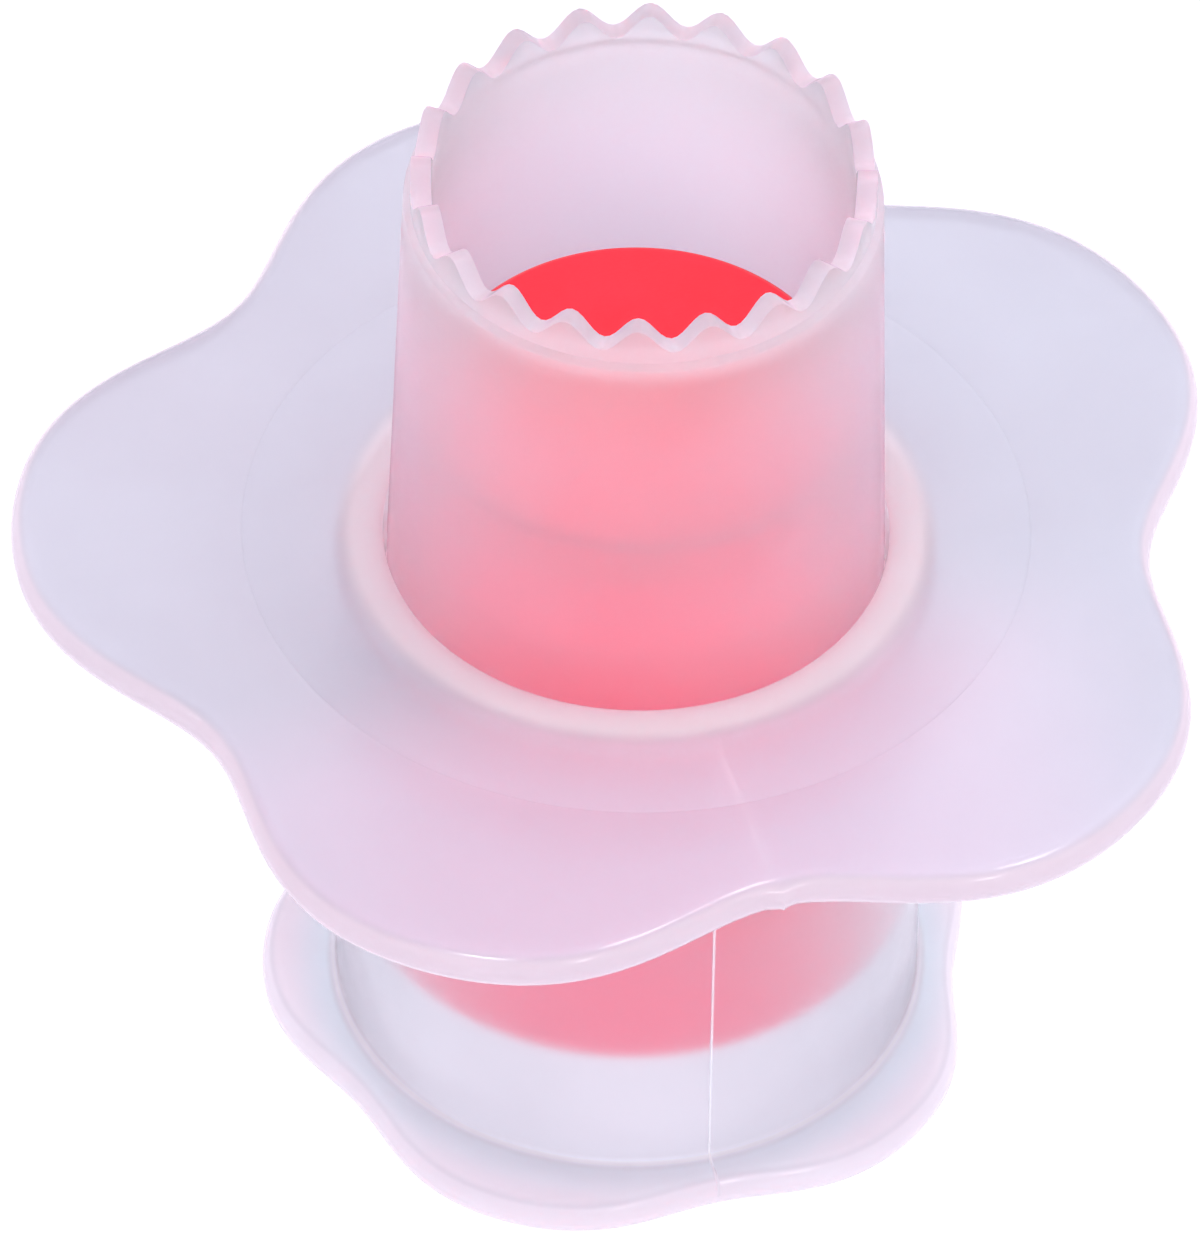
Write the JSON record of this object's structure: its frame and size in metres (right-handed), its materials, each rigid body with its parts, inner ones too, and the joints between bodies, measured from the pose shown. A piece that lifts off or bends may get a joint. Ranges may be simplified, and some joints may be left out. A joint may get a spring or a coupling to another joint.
{
  "type": "cupcake corer",
  "caption": "Translucent cupcake corer: toothed cutting tube on a flower-shaped grip with a finger hub, and a red plunger that slides up the tube to push out the core.",
  "frame": {"origin": "on the tube's axis, in the plane of the small flower's underside, on which the tool stands with its teeth up", "axes": "+Z along the tube towards the teeth, +Y through the middle of a petal of each flower"},
  "size_m": [0.0726, 0.0705, 0.0694],
  "materials": {
    "clear_plastic": "translucent, softly glossy",
    "frosted_plastic": "translucent, frosted",
    "red_plastic": "opaque, satin"
  },
  "bodies": {
    "grip": {"flower_grip": "clear_plastic", "cutter_tube": "frosted_plastic"},
    "plunger": {"plunger": "red_plastic"}
  },
  "joints": [
    {"name": "plunger_slide", "type": "slide", "parent": "grip", "child": "plunger", "axis": [0, 0, 1], "range_m": [-0.0089, 0.0161]}
  ]
}
